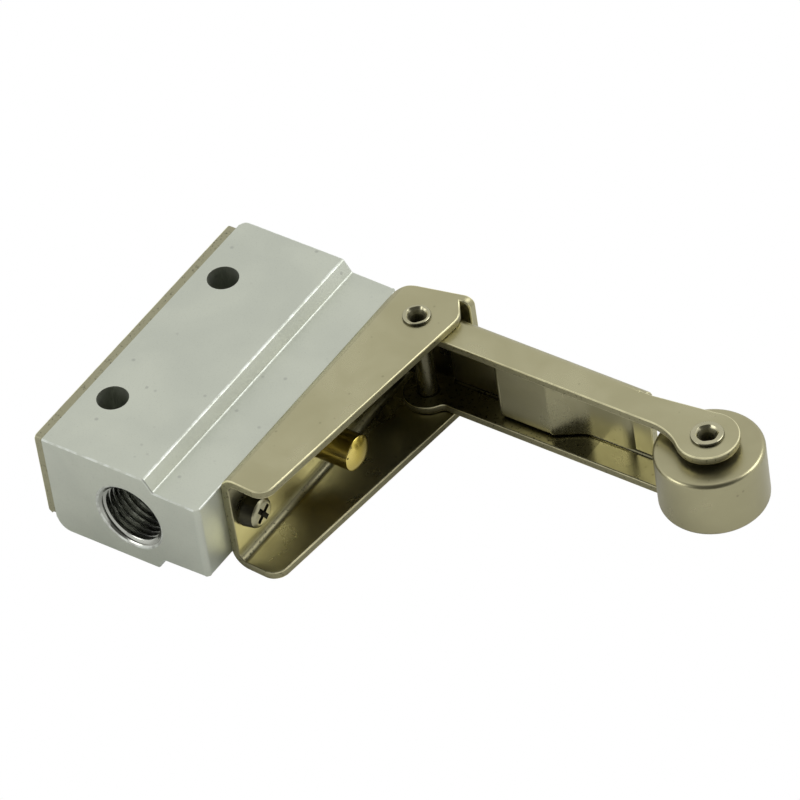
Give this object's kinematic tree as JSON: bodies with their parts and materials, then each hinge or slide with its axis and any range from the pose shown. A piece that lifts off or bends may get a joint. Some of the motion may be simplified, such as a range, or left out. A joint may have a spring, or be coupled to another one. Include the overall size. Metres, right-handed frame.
{
  "type": "roller lever air valve",
  "caption": "Small pneumatic valve with a stepped aluminium body, a port at each end, a brass plunger and a hinged sheet-metal lever that carries a steel roller.",
  "frame": {"origin": "midway between the two mounting holes, on the flat side that they are bolted down on", "axes": "+Z along the mounting holes and the lever's pivot, +X along the body towards the pivot, -Y out of the bracket side where the plunger and the lever stand out"},
  "size_m": [0.0485, 0.0835, 0.0166],
  "materials": {
    "aluminium_body": "satin extruded aluminium",
    "cover_steel": "zinc plated sheet",
    "nickel_sheet": "nickel plated sheet",
    "roller_steel": "nickel plated, turned",
    "rivet_steel": "nickel plated rivet",
    "screw_steel": "nickel plated screw",
    "spring_steel": "bright spring steel",
    "plunger_brass": "turned brass",
    "brass_inner": "turned brass",
    "seal_rubber": "matt nitrile rubber"
  },
  "bodies": {
    "valve": {"valve_body": "aluminium_body", "back_cover": "cover_steel", "cover_screws": "screw_steel", "spring_cup": "brass_inner", "return_spring": "spring_steel", "rear_seal_ring": "seal_rubber", "middle_seal_ring": "seal_rubber", "front_seal_ring": "seal_rubber", "inlet_spacer": "brass_inner", "outlet_spacer": "brass_inner", "exhaust_spacer": "brass_inner", "bracket": "nickel_sheet", "bracket_screws": "screw_steel", "pivot_pin": "rivet_steel"},
    "plunger": {"plunger": "plunger_brass", "plunger_clip": "spring_steel"},
    "lever": {"lever": "nickel_sheet", "roller_pin": "rivet_steel"},
    "roller": {"roller": "roller_steel"}
  },
  "joints": [
    {"name": "lever_hinge", "type": "hinge", "parent": "valve", "child": "lever", "pos_m": [0.0182, -0.02673, 0.008], "axis": [0, 0, -1], "range_deg": [-12, 89.5]},
    {"name": "roller_spin", "type": "hinge", "parent": "lever", "child": "roller", "pos_m": [0.0182, -0.0711, 0.008], "axis": [0, 0, 1], "continuous": true},
    {"name": "plunger_slide", "type": "slide", "parent": "valve", "child": "plunger", "axis": [0, 1, 0], "range_m": [-0.00037, 0.00271], "deforming": ["return_spring"]}
  ],
  "couplings": [
    {"joint": "plunger_slide", "follows": "lever_hinge", "m_per_rad": 0.0017285}
  ]
}
